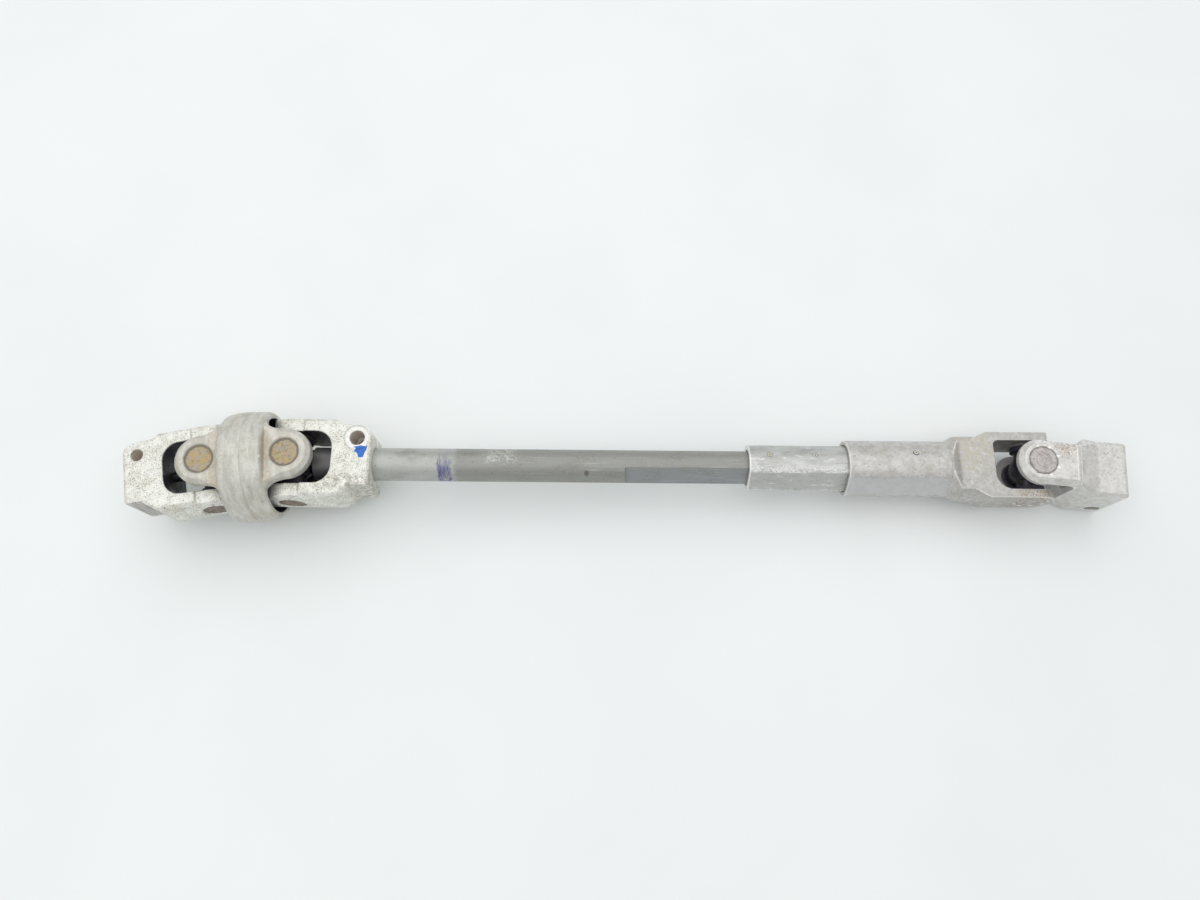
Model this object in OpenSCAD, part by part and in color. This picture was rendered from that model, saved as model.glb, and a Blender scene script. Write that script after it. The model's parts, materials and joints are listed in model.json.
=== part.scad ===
// Steering intermediate shaft: a centred double universal joint with two cast
// clamp yokes, a double-D shaft that slides in a lined tube, and a single
// universal joint with a clamp block for the steering gear.
// Millimetres. The shaft runs along X, Z is up, and the origin is the middle
// of the gear yoke's clamp bore.

/* [Shaft] */
// Distance from the middle joint's centre to the lower joint's centre
shaft_span = 424.7; // [380:0.1:480]
// Diameter of the solid shaft
shaft_d = 19.05; // [17:0.05:21]
// Distance across the shaft's two flats
flat_w = 14.2; // [12:0.1:16]
// Turn of the flats from level, towards the front
flat_turn = 59; // [0:1:90]
// Distance from the middle joint's centre to where the flats begin
flat_start = 190; // [150:1:198]
// Length of shaft inside the slide tube at rest
tube_overlap = 70; // [45:1:90]

/* [Rest pose] */
// Swing of the coupling ring about Z, half of the column yoke's swing
ring_yaw = 5.5; // [-10:0.5:10]
// Swing of the gear yoke about Z
gear_yaw = -5; // [-15:0.5:15]

/* [Bearings] */
// Diameter of a cross's trunnions
trunnion_d = 10; // [8:0.1:12]
// Diameter of a needle roller
needle_d = 2.2; // [1.6:0.1:2.6]
// Least room between two needle rollers
needle_gap = 0.15; // [0.1:0.05:0.4]
// Radial play on each side of the needle rollers
needle_play = 0.06; // [0.03:0.01:0.1]
// Side wall of a bearing cup
cup_wall = 0.68; // [0.5:0.01:1.2]
// Floor of a bearing cup
cup_floor = 1; // [0.6:0.1:1.5]
// Length of cup that stands into the throat
cup_lip = 0.9; // [0.4:0.1:1.5]
// Depth of the cups below the castings' outer faces
cup_recess = 1.2; // [0.4:0.1:2]
// Depth of the cups below the forgings' outer faces
fork_recess = 0.3; // [0.1:0.1:0.8]
// Gap between a trunnion's end and its cup's floor
end_play = 0.1; // [0.05:0.05:0.3]
// Thickness of a rubber seal
seal_t = 2.4; // [1.5:0.1:3]
// Running gap between a seal and its cup
seal_gap = 0.3; // [0.2:0.1:0.6]
// Wall of a cross's collar around the trunnion
collar_wall = 1.2; // [0.8:0.1:2]

/* [Double joint] */
// Half of the distance between the upper and middle joint centres
half_gap = 23.5; // [22:0.5:28]
// Casting left around a cup in a clamp yoke's eye
eye_wall = 6.5; // [5:0.1:7]
// Height of the step from a clamp yoke's eye up to its body
eye_step = 1.5; // [1:0.1:3]
// Distance from the joint centre to that step
step_x = 6.8; // [5:0.1:9]
// Casting left around a cup in the ring's lugs
lug_wall = 6; // [5:0.1:7]
// Gap between the lugs' round ends and the yokes' arms
lug_gap = 1.2; // [0.8:0.1:2]
// Gap between the lugs' inner faces and the yokes' top faces
lug_lift = 0.7; // [0.5:0.1:1.5]
// Thickness of a lug
lug_t = 8.3; // [7:0.1:10]
// Thickness of a clamp yoke's arm at its eye
arm_t = 9.3; // [8:0.1:11]
// Extra width of a clamp yoke's body beyond the eyes
side_bulge = 1; // [0.5:0.1:2]
// Narrowing of the cast walls from the parting line to the faces
draft_in = 3.2; // [1:0.1:4]
// Bevel along the cast edges
cast_bevel = 1.4; // [0.6:0.1:2]
// Distance from the joint centre to the throat's end
throat_depth = 23.5; // [21:0.5:28]
// Corner radius of the throat
throat_r = 9.5; // [6:0.5:14]
// Bevel around the lugs' outer faces
lug_lip = 2.4; // [1.5:0.1:3]
// Bevel at the eyes' rims, where the castings are staked over the cups
stake_bevel = 0.8; // [0.4:0.1:1.1]
// Outer diameter of the ring's barrel
ring_d = 64; // [62:0.5:72]
// Width of the ring's barrel
ring_w = 25; // [22:0.5:27]
// Wall of the ring's barrel
ring_wall = 5; // [3.5:0.1:6]
// Distance from the ring's middle to its parting line
seam_x = 1.5; // [-3:0.1:3]
// Step of the barrel at its parting line
seam_step = 0.3; // [0.1:0.05:0.5]

/* [Column clamp] */
// Length of a clamp yoke's clamp part
clamp_len = 22; // [20:0.5:30]
// Length of the milled face at the front of the clamp part
face_len = 9.3; // [6:0.1:12]
// Play between the shaft and the clamp bore
bore_play = 0.03; // [0.01:0.01:0.08]
// Casting left around the clamp bore
clamp_wall = 6.6; // [5:0.1:9]
// Nominal diameter of the pinch bolts
bolt_d = 8; // [6:1:10]
// Extra diameter of the pinch bolts' clearance holes
bolt_clear = 0.5; // [0.3:0.1:1]
// Depth of the bolt's groove in the shaft
bolt_bite = 2; // [1:0.1:3]
// Distance from the throat's end to the pinch bolt
bolt_in = 13.8; // [11:0.1:15]
// Casting left behind the pinch bolt
ear_wall = 3; // [2.5:0.1:5]
// Diameter of the spot face under the bolt's head
spot_d = 14.5; // [13:0.1:15]
// Depth of that spot face
spot_depth = 1; // [0.5:0.1:2]
// Width of the clamp slits
slit_w = 2.5; // [1.5:0.1:4]

/* [Centring] */
// Diameter of the centring stems
stem_d = 6; // [5:0.1:7]
// Diameter of the centring ball
ball_d = 10.6; // [9:0.1:11]
// Room between the ball and its sleeve over the whole swing
ball_room = 0.9; // [0.85:0.05:1.2]
// Wall of the centring sleeve
sleeve_wall = 1.6; // [1:0.1:2]
// Length of sleeve past the ball's centre
sleeve_mouth = 4.5; // [4:0.1:5]
// Depth of the stud in the shaft's end
stud_seat = 12; // [8:1:16]
// Thickness of the plug behind the column yoke's bore
plug_t = 5; // [4:0.5:7]
// Shoulder between the column yoke's bore and the plug's seat
seat_step = 0.8; // [0.5:0.1:1.5]
// Room for a stem's swing in a cross's bored hub
stem_swing = 3; // [2.5:0.1:4]
// Wall of a bored hub
hub_wall = 4.5; // [4:0.1:5]
// Gap between a hub and the shaft's end face
hub_gap = 0.8; // [0.5:0.1:2]

/* [Tubes] */
// Play between the shaft and its nylon liner
slide_play = 0.05; // [0.02:0.01:0.1]
// Thickness of the shaft's nylon liner
liner_t = 0.95; // [0.7:0.05:1.3]
// Length of the shaft's nylon liner
liner_len = 60; // [40:1:70]
// Round wall of the slide tube
tube_wall = 2.5; // [2:0.1:3.5]
// Wall of the slide tube at its flats
tube_flat_wall = 3; // [2:0.1:3.5]
// Distance from the lower joint's centre to the slide tube's mouth
tube_mouth = 163.8; // [150:0.1:180]
// Length of the slide tube
tube_len = 114; // [100:1:124]
// Thickness of the nylon between slide tube and socket
pack_t = 0.7; // [0.5:0.05:1.1]
// Round wall of the tube yoke's socket
socket_wall = 2.5; // [2:0.1:3.5]
// Wall of the socket at its flats
socket_flat_wall = 2.9; // [2:0.1:3.5]
// Distance from the lower joint's centre to the socket's mouth
socket_mouth = 107.7; // [95:0.1:115]
// Diameter of the moulded plugs that fill the gate holes
gate_d = 3.2; // [2:0.1:4]
// Distance from the slide tube's mouth to its first gate hole
gate_first = 11.7; // [8:0.1:20]
// Distance between the slide tube's gate holes
gate_pitch = 26; // [20:0.5:30]
// Distance from the socket's mouth to its gate hole
socket_gate = 38.5; // [10:0.5:45]
// Turn of the gate holes about the shaft, towards the back
gate_turn = 20; // [-10:1:40]

/* [Lower joint] */
// Forging left around a cup in the gear yoke's lugs
gear_wall = 5; // [4:0.1:6]
// Thickness of the gear yoke's lugs
gear_lug_t = 6.2; // [5:0.1:8]
// Gap between the gear yoke's lugs and the tube yoke's arms
fork_gap = 1.3; // [1:0.1:2]
// Height left between the arms and the gear yoke's lugs
gear_lift = 2.7; // [2:0.1:4]
// Forging left around a cup in the tube yoke's arms
fork_wall = 4.5; // [4:0.1:6]
// Thickness of the tube yoke's arms
fork_t = 5.2; // [4.5:0.1:7]
// Distance from the joint centre to the fork's throat end
fork_throat = 23.5; // [21:0.5:26]
// Corner radius of the fork's throat at the back
fork_r = 3; // [2:0.5:6]
// Corner radius of the fork's throat at the front
fork_front_r = 9; // [4:0.5:11]
// Reach of the bevel-ended arm's upper edge past the joint centre
fork_reach = 8; // [6:0.5:10]
// Wall left past the cup at that arm's end
nose_wall = 2.6; // [1.5:0.1:3]
// Radius of the flared body behind the fork
flare_r = 19.2; // [18.2:0.1:20]
// Distance from the joint centre to the start of the flare
flare_from = 49.5; // [48:0.5:60]
// Length of the flare
flare_len = 6; // [5:0.5:9]
// Distance from the joint centre to where the arms leave the body
ramp_from = 37; // [32:0.5:40]
// Length of the arms' ramps
ramp_len = 9; // [6:0.5:12]
// Floor between the socket's bore and the fork's throat
socket_floor = 8; // [5:0.5:10]
// Number of stakes round a forged eye
stake_count = 8; // [4:1:10]
// Diameter of a stake's dent
stake_d = 2.2; // [1.5:0.1:2.8]
// Depth of a stake's dent
stake_depth = 0.6; // [0.3:0.1:0.9]
// Diameter of the lower cross's hub
lower_hub_d = 19; // [17:0.5:20]

/* [Gear clamp] */
// Bore for the steering gear's input shaft
gear_bore_d = 17.5; // [15:0.1:20]
// Distance from the joint centre to the gear yoke's throat end
gear_throat = 21; // [19:0.5:24]
// Corner radius of the gear yoke's throat
gear_throat_r = 6; // [3:0.5:8]
// Bevel around the ends of the gear yoke's lugs
gear_lip = 2.8; // [1.5:0.1:3.5]
// Distance from the gear yoke's throat end to its clamp block
neck_len = 6.5; // [4:0.5:9]
// Length of the clamp block
block_len = 22; // [20:0.5:30]
// Distance from the clamp block's end to its pinch bolt
gear_bolt_in = 6.4; // [6:0.1:10]
// Width of the clamp block
block_w = 32.4; // [30:0.1:40]
// Height of the clamp block above the bore's axis
block_top = 17; // [14:0.5:18]
// Depth of the forging below the pinch bolt's hole
block_floor = 2.8; // [2:0.1:5]
// Overlap of the gear's pinch bolt with the bore
gear_bite = 0.7; // [0.5:0.05:1.5]
// Width of the gear clamp's slot
gear_slot_w = 3; // [2:0.1:5]
// Bevel along the clamp block's edges
block_bevel = 2; // [1:0.1:3]

/* [Hidden] */
$fn = 72;

// Bearing radii
trunnion_r = trunnion_d / 2;
needle_ring_r = trunnion_r + needle_play + needle_d / 2;
cup_in_r = needle_ring_r + needle_d / 2 + needle_play;
cup_r = cup_in_r + cup_wall;
needle_count = floor(180 / asin((needle_d + needle_gap) / (2 * needle_ring_r)));
collar_r = trunnion_r + collar_wall;
seal_play = 0.05;
needle_set = 0.4;
cup_mark = 0.3;
cup_mark_r = 2;

// Double joint, measured from a joint centre
eye_r = cup_r + eye_wall;
yoke_top = eye_r + eye_step;
lug_r = cup_r + lug_wall;
throat_half = lug_r + lug_gap;
yoke_out = throat_half + arm_t;
body_out = yoke_out + side_bulge;
yoke_cup = yoke_out - cup_recess;
yoke_open = throat_half - cup_lip;
lug_in = yoke_top + lug_lift;
lug_out = lug_in + lug_t;
ring_cup = lug_out - cup_recess;
ring_open = lug_in - cup_lip;
ring_r = ring_d / 2;
ring_edge_r = 2.4;
draft_turn = atan(draft_in / yoke_top);
bevel_turn = 50;

// Clamp part of the castings
shaft_r = shaft_d / 2;
clamp_r = shaft_r + bore_play;
clamp_end = throat_depth + clamp_len;
bolt_x = throat_depth + bolt_in;
bolt_hole_r = (bolt_d + bolt_clear) / 2;
tap_r = bolt_d * 0.43;
bolt_y = shaft_r + bolt_d / 2 - bolt_bite;
ear_out = bolt_y + bolt_hole_r + ear_wall;
front_out = clamp_r + clamp_wall;

// Centring parts
stem_r = stem_d / 2;
neck_r = stem_r * 0.73;
ball_r = ball_d / 2;
sleeve_in_r = ball_r + ball_room;
sleeve_r = sleeve_in_r + sleeve_wall;
sleeve_back = ball_r + ball_room;
plug_r = clamp_r - seat_step;
hub_bore_r = stem_r + stem_swing;
hub_r = hub_bore_r + hub_wall;
shaft_start = hub_r + hub_gap;

// Tubes, measured from the lower joint's centre
liner_r = shaft_r + slide_play;
liner_flat = flat_w / 2 + slide_play;
tube_in_r = liner_r + liner_t;
tube_in_flat = liner_flat + liner_t;
tube_r = tube_in_r + tube_wall;
tube_flat = tube_in_flat + tube_flat_wall;
socket_in_r = tube_r + pack_t;
socket_in_flat = tube_flat + pack_t;
socket_r = socket_in_r + socket_wall;
socket_flat = socket_in_flat + socket_flat_wall;
socket_end = fork_throat + socket_floor;
seat_end = tube_mouth - tube_len;

// Lower joint
gear_lug_r = cup_r + gear_wall;
fork_half = gear_lug_r + fork_gap;
fork_out = fork_half + fork_t;
fork_top = cup_r + fork_wall;
fork_nose = cup_r + nose_wall;
fork_body = sqrt(flare_r * flare_r - fork_top * fork_top);
tube_cup = fork_out - fork_recess;
tube_open = fork_half - cup_lip;
gear_in = fork_top + gear_lift;
gear_out = gear_in + gear_lug_t;
gear_cup = gear_out - fork_recess;
gear_open = gear_in - cup_lip;
lower_hub_r = lower_hub_d / 2;

// Gear clamp
gear_bore_r = gear_bore_d / 2;
block_start = gear_throat + neck_len;
gear_end = block_start + block_len;
gear_mid = (gear_throat + gear_end) / 2;
gear_bolt_x = gear_end - gear_bolt_in;
gear_bolt_z = gear_bore_r + bolt_hole_r - gear_bite;
block_bottom = gear_bolt_z + bolt_hole_r + block_floor;

// Joint centres
lower_c = -gear_mid * [cos(gear_yaw), sin(gear_yaw), 0];
middle_c = lower_c - [shaft_span, 0, 0];
ring_c = middle_c - half_gap * [cos(ring_yaw), sin(ring_yaw), 0];
upper_c = ring_c - half_gap * [cos(ring_yaw), sin(ring_yaw), 0];
column_yaw = 2 * ring_yaw;
shaft_end = shaft_span - tube_mouth + tube_overlap;

// Room that cutting tools run past a face
over = 1;
far = 60;

// Outline with rounded corners, from points that carry a radius
function unit(v) = v / norm(v);
function corner(a, v, b, r, n) =
  let (
    u = unit(a - v),
    w = unit(b - v),
    h = acos(u * w) / 2,
    t = min(r / tan(h), 0.49 * min(norm(a - v), norm(b - v))),
    c = v + unit(u + w) * t / cos(h),
    s = v + u * t - c,
    e = v + w * t - c,
    a0 = atan2(s.y, s.x),
    d = atan2(e.y, e.x) - a0,
    sweep = d > 180 ? d - 360 : d < -180 ? d + 360 : d
  )
  [for (k = [0:n]) c + norm(s) * [cos(a0 + sweep * k / n), sin(a0 + sweep * k / n)]];
function soft(p, n = 6) =
  let (m = len(p))
  [
    for (i = [0:m - 1])
      let (
        a = p[(i + m - 1) % m],
        q = p[i],
        b = p[(i + 1) % m]
      )
      each q.z > 0
        ? corner([a.x, a.y], [q.x, q.y], [b.x, b.y], q.z, n)
        : [[q.x, q.y]]
  ];
// Both sides of an outline that is even about its X axis
function both(p) = concat(p, [for (i = [len(p) - 1:-1:0]) [p[i].x, -p[i].y, p[i].z]]);

// Extrusions along an axis, from an outline in (Y, Z), (X, Z) or (X, Y)
module along_x(x0, x1) translate([x0, 0, 0]) rotate([90, 0, 90]) linear_extrude(x1 - x0) children();
module along_y(y0, y1) translate([0, y1, 0]) rotate([90, 0, 0]) linear_extrude(y1 - y0) children();
module along_z(z0, z1) translate([0, 0, z0]) linear_extrude(z1 - z0) children();
module rod_x(r, x0, x1) translate([x0, 0, 0]) rotate([0, 90, 0]) cylinder(r = r, h = x1 - x0);
module rod_y(r, y0, y1) translate([0, y0, 0]) rotate([-90, 0, 0]) cylinder(r = r, h = y1 - y0);
module rod_z(r, z0, z1) translate([0, 0, z0]) cylinder(r = r, h = z1 - z0);
module box(x0, x1, y0, y1, z0, z1) translate([x0, y0, z0]) cube([x1 - x0, y1 - y0, z1 - z0]);

// Two opposite copies of a bearing piece that is drawn along Z
module pair_y() {
  rotate([-90, 0, 0]) children();
  rotate([90, 0, 0]) children();
}
module pair_z() {
  children();
  rotate([180, 0, 0]) children();
}

// Cut that leans a wall inwards above height z, with the waste on the right of p to q
module lean_cut(p, q, lean, z) {
  translate([p.x, p.y, z])
    rotate([0, 0, atan2(q.y - p.y, q.x - p.x)])
      rotate([-lean, 0, 0])
        box(-far, norm(q - p) + far, -far, 0, -far, far);
}
// Drafted wall with bevelled edges, above and below the parting line
module cast_wall(p, q, inset) {
  for (side = [0, 1]) mirror([0, 0, side]) {
    if (inset > 0) lean_cut(p, q, draft_turn, 0);
    lean_cut(p, q, bevel_turn, yoke_top - (inset + cast_bevel) / tan(bevel_turn));
  }
}

// Double-D section, turned with the shaft's flats
module double_d(r, flat) {
  rotate(flat_turn) intersection() {
    circle(r);
    square([2 * r + over, 2 * flat], center = true);
  }
}

// Bearing cup and its needle rollers, from the open end to the floor, with an
// optional drawn ring and centre dimple in its outer face
module cup(open, outer, drawn = false) {
  difference() {
    rod_z(cup_r, open, outer);
    rod_z(cup_in_r, open - over, outer - cup_floor);
    if (drawn) {
      translate([0, 0, outer + cup_mark_r - cup_mark]) sphere(cup_mark_r);
      difference() {
        rod_z(cup_r * 0.56, outer - cup_mark, outer + over);
        rod_z(cup_r * 0.46, outer - cup_mark - over, outer + 2 * over);
      }
    }
  }
}
// Dents that hold a cup in a forged eye, down from its outer face
module stakes(outer) {
  for (i = [0:stake_count - 1]) rotate((i + 0.5) * 360 / stake_count)
    translate([cup_r + stake_d * 0.3, 0, 0]) rod_z(stake_d / 2, outer - stake_depth, far);
}
// Bevelled rim of a cast eye, down from its outer face
module rim(outer) {
  translate([0, 0, outer - stake_bevel])
    cylinder(r1 = cup_r, r2 = cup_r + stake_bevel + over, h = stake_bevel + over);
}
module needle_row(open, outer) {
  for (i = [0:needle_count - 1]) rotate(i * 360 / needle_count)
    translate([needle_ring_r, 0, 0])
      rod_z(needle_d / 2, open + needle_set, outer - cup_floor - end_play);
}

// Joint cross and its seals, with each pair's open end and cup
module cross(hub, bore, open_y, outer_y, open_z, outer_z) {
  difference() {
    union() {
      sphere(hub);
      pair_y() rod_z(trunnion_r, 0, outer_y - cup_floor - end_play);
      pair_z() rod_z(trunnion_r, 0, outer_z - cup_floor - end_play);
      pair_y() rod_z(collar_r, 0, open_y - seal_gap - seal_t);
      pair_z() rod_z(collar_r, 0, open_z - seal_gap - seal_t);
    }
    if (bore > 0) rod_x(bore, -hub - over, hub + over);
  }
}
module seal(open) {
  difference() {
    rod_z(cup_r, open - seal_gap - seal_t, open - seal_gap);
    rod_z(trunnion_r + seal_play, open - seal_gap - seal_t - over, open);
  }
}

// Cast clamp yoke, from its joint centre to the clamp along +X, with the bore
// open to the throat or narrowed to a plug's seat at the throat
module clamp_yoke(seat_r, seat_len) {
  front_a = [throat_depth + 0.5, -body_out];
  front_b = [clamp_end - face_len, -front_out];
  front_c = [clamp_end, -front_out];
  back_c = [clamp_end, ear_out];
  back_b = [throat_depth + 4, ear_out + 0.9];
  back_a = [throat_depth - 1, body_out];
  difference() {
    intersection() {
      along_z(-yoke_top, yoke_top) polygon(soft([
        [-eye_r, -yoke_out, 3],
        [step_x - 0.5, -yoke_out, 0.5],
        [step_x + 0.5, -body_out, 0.5],
        [front_a.x, front_a.y, 5],
        [front_b.x, front_b.y, 2],
        [front_c.x, front_c.y, 2],
        [back_c.x, back_c.y, 7],
        [back_b.x, back_b.y, 3.5],
        [back_a.x, back_a.y, 3.5],
        [step_x + 0.5, body_out, 0.5],
        [step_x - 0.5, yoke_out, 0.5],
        [-eye_r, yoke_out, 3]
      ]));
      union() {
        rod_y(eye_r, -far, far);
        box(0, step_x + over, -far, far, -eye_r, eye_r);
        along_y(-far, far) polygon(soft([
          [step_x, -yoke_top, 1],
          [step_x, yoke_top, 1],
          [clamp_end + over, yoke_top, 0],
          [clamp_end + over, -yoke_top, 0]
        ]));
      }
    }
    cast_wall([-eye_r, -body_out], front_a, draft_in);
    intersection() {
      cast_wall(front_a, front_b, 0);
      box(0, front_b.x, -far, 0, -far, far);
    }
    cast_wall(front_c, back_c, 0);
    cast_wall(back_a, [-eye_r, body_out], draft_in);
    // Throat between the arms, and the eyes for the cups
    along_z(-far, far) polygon(soft([
      [-far, -throat_half, 0],
      [throat_depth, -throat_half, throat_r],
      [throat_depth, throat_half, throat_r],
      [-far, throat_half, 0]
    ]));
    rod_y(cup_r, -far, far);
    pair_y() rim(yoke_out);
    // Clamp bore, slit and pinch-bolt hole
    rod_x(clamp_r, throat_depth + seat_len, clamp_end + over);
    rod_x(seat_r, 0, throat_depth + seat_len + over);
    box(throat_depth + plug_t + over, clamp_end + over, 0, far, -slit_w / 2, slit_w / 2);
    translate([bolt_x, bolt_y, 0]) {
      rod_z(bolt_hole_r, 0, far);
      rod_z(tap_r, -far, over);
      rod_z(spot_d / 2, yoke_top - spot_depth, far);
    }
  }
}

// Frames of the joints
module at_column() translate(upper_c) rotate([0, 0, column_yaw]) rotate([0, 180, 0]) children();
module at_upper() translate(upper_c) rotate([0, 0, column_yaw]) children();
module at_ring() translate(ring_c) rotate([0, 0, ring_yaw]) children();
module at_middle() translate(middle_c) children();
module at_lower() translate(lower_c) children();
module at_gear() translate(lower_c) rotate([0, 0, gear_yaw]) children();

module column_yoke() color("gainsboro") at_column() clamp_yoke(plug_r, plug_t);
module column_yoke_cups() color("tan") at_column() pair_y() cup(yoke_open, yoke_cup);
module column_yoke_needles() color("silver") at_column() pair_y() needle_row(yoke_open, yoke_cup);

// Sleeve for the centring ball, on a stem through the upper cross
module centring_sleeve() color("slategray") at_column() {
  difference() {
    union() {
      rod_x(sleeve_r, -half_gap - sleeve_mouth, -half_gap + sleeve_back + sleeve_wall);
      rod_x(stem_r, -half_gap + sleeve_back, throat_depth + plug_t);
    }
    rod_x(sleeve_in_r, -half_gap - sleeve_mouth - over, -half_gap + sleeve_back);
  }
}
module centring_plug() color("dimgray") at_column() {
  difference() {
    rod_x(plug_r, throat_depth, throat_depth + plug_t);
    rod_x(stem_r, throat_depth - over, throat_depth + plug_t + over);
  }
}

module upper_cross() color("dimgray") at_upper()
  cross(hub_r, hub_bore_r, yoke_open, yoke_cup, ring_open, ring_cup);
module upper_cross_seals() color("black") at_upper() {
  pair_y() seal(yoke_open);
  pair_z() seal(ring_open);
}

// Barrel ring with four lugs, which holds the two crosses' upright trunnions
module coupling_ring() color("lightgray") at_ring() {
  barrel_end = ring_w / 2;
  lug_root = [barrel_end - 1, -lug_r - 5.5];
  lug_side = [half_gap, 0.2 - lug_r];
  difference() {
    union() {
      rotate([0, 90, 0]) rotate_extrude() polygon(soft([
        [0, -barrel_end, 0],
        [ring_r - 1.2, -barrel_end, ring_edge_r],
        [ring_r, -2 * ring_edge_r, 40],
        [ring_r, seam_x, 0],
        [ring_r - seam_step, seam_x, 0],
        [ring_r - seam_step, 2 * ring_edge_r, 40],
        [ring_r - 1.2, barrel_end, ring_edge_r],
        [0, barrel_end, 0]
      ]));
      // Lugs with bevelled rims, which widen to the barrel
      intersection() {
        union() {
          for (end = [-1, 1]) translate([end * half_gap, 0, 0]) rotate_extrude() polygon([
            [0, -lug_out],
            [lug_r - lug_lip, -lug_out],
            [lug_r, lug_lip - lug_out],
            [lug_r, lug_out - lug_lip],
            [lug_r - lug_lip, lug_out],
            [0, lug_out]
          ]);
          difference() {
            along_z(-lug_out, lug_out) polygon(soft([
              [lug_side.x, lug_side.y, 0],
              [lug_root.x + 5, lug_side.y - 1.2, 9],
              [lug_root.x, lug_root.y, 0],
              [-lug_root.x, lug_root.y, 0],
              [-lug_root.x - 5, lug_side.y - 1.2, 9],
              [-lug_side.x, lug_side.y, 0],
              [-lug_side.x, -lug_side.y, 0],
              [-lug_root.x - 5, 1.2 - lug_side.y, 9],
              [-lug_root.x, -lug_root.y, 0],
              [lug_root.x, -lug_root.y, 0],
              [lug_root.x + 5, 1.2 - lug_side.y, 9],
              [lug_side.x, -lug_side.y, 0]
            ]));
            for (sx = [0, 1], sy = [0, 1], sz = [0, 1])
              mirror([sx, 0, 0]) mirror([0, sy, 0]) mirror([0, 0, sz]) intersection() {
                lean_cut(lug_root, lug_side, 45, lug_out - lug_lip);
                box(barrel_end - 2, far, -far, 0, 0, far);
              }
          }
        }
        rod_x(ring_r - over, -far, far);
      }
    }
    intersection() {
      rod_x(ring_r - ring_wall, -far, far);
      box(-far, far, -far, far, -lug_in, lug_in);
    }
    box(barrel_end, far, -far, far, -lug_in, lug_in);
    box(-far, -barrel_end, -far, far, -lug_in, lug_in);
    for (end = [-1, 1]) translate([end * half_gap, 0, 0]) {
      rod_z(cup_r, -far, far);
      pair_z() rim(lug_out);
    }
  }
}
module ring_cups() color("tan") at_ring() {
  for (end = [-1, 1]) translate([end * half_gap, 0, 0]) pair_z() cup(ring_open, ring_cup);
}
module ring_needles() color("silver") at_ring() {
  for (end = [-1, 1]) translate([end * half_gap, 0, 0]) pair_z() needle_row(ring_open, ring_cup);
}

module middle_cross() color("dimgray") at_middle()
  cross(hub_r, hub_bore_r, yoke_open, yoke_cup, ring_open, ring_cup);
module middle_cross_seals() color("black") at_middle() {
  pair_y() seal(yoke_open);
  pair_z() seal(ring_open);
}

module shaft_yoke() color("gainsboro") at_middle() clamp_yoke(clamp_r, 0);
module shaft_yoke_cups() color("tan") at_middle() pair_y() cup(yoke_open, yoke_cup);
module shaft_yoke_needles() color("silver") at_middle() pair_y() needle_row(yoke_open, yoke_cup);

// Solid shaft with two flats, a groove for the pinch bolt and a seat for the stud
module steel_shaft() color("darkgray") at_middle() {
  difference() {
    rod_x(shaft_r, shaft_start, shaft_end);
    for (side = [0, 180]) rotate([flat_turn + side, 0, 0])
      box(flat_start, shaft_end + over, -far, far, flat_w / 2, far);
    translate([bolt_x, bolt_y, 0]) rod_z(bolt_hole_r, -far, far);
    rod_x(stem_r, shaft_start - over, shaft_start + stud_seat);
  }
}
module centring_stud() color("slategray") at_middle() {
  neck_end = -half_gap + ball_r + 3;
  rotate([0, 90, 0]) rotate_extrude() intersection() {
    union() {
      translate([0, -half_gap]) circle(ball_r);
      translate([0, -half_gap]) square([neck_r, half_gap + neck_end + over]);
      translate([0, neck_end]) square([stem_r, shaft_start + stud_seat - neck_end]);
    }
    translate([0, -far]) square([far, 2 * far]);
  }
}

// Row of moulded plugs that stand out from the axis to radius r
module gates(places, r0, r) {
  for (x = places) translate([x, 0, 0]) rotate([-gate_turn, 0, 0]) rod_z(gate_d / 2, r0, r);
}
slide_gates = [-tube_mouth + gate_first, -tube_mouth + gate_first + gate_pitch];
socket_gates = [-socket_mouth + socket_gate];

module slide_tube() color("silver") at_lower() {
  difference() {
    along_x(-tube_mouth, -seat_end) double_d(tube_r, tube_flat);
    along_x(-tube_mouth - over, -seat_end + over) double_d(tube_in_r, tube_in_flat);
    gates(slide_gates, 0, far);
  }
}
module shaft_liner() color("ivory") at_lower() {
  difference() {
    union() {
      along_x(-tube_mouth + over, -tube_mouth + over + liner_len) double_d(tube_in_r, tube_in_flat);
      intersection() {
        gates(slide_gates, liner_r, far);
        along_x(-tube_mouth, -seat_end) double_d(tube_r, tube_flat);
      }
    }
    along_x(-tube_mouth, -seat_end) double_d(liner_r, liner_flat);
  }
}

// Side of the fork: a plate that ramps out from the flared body
module fork_plate() along_z(-fork_top, fork_top) polygon(soft([
  [-ramp_from, 0, 0],
  [-ramp_from, fork_body, 0],
  [-ramp_from + ramp_len, fork_out, 9],
  [fork_top + over, fork_out, 0],
  [fork_top + over, 0, 0]
]));
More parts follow.
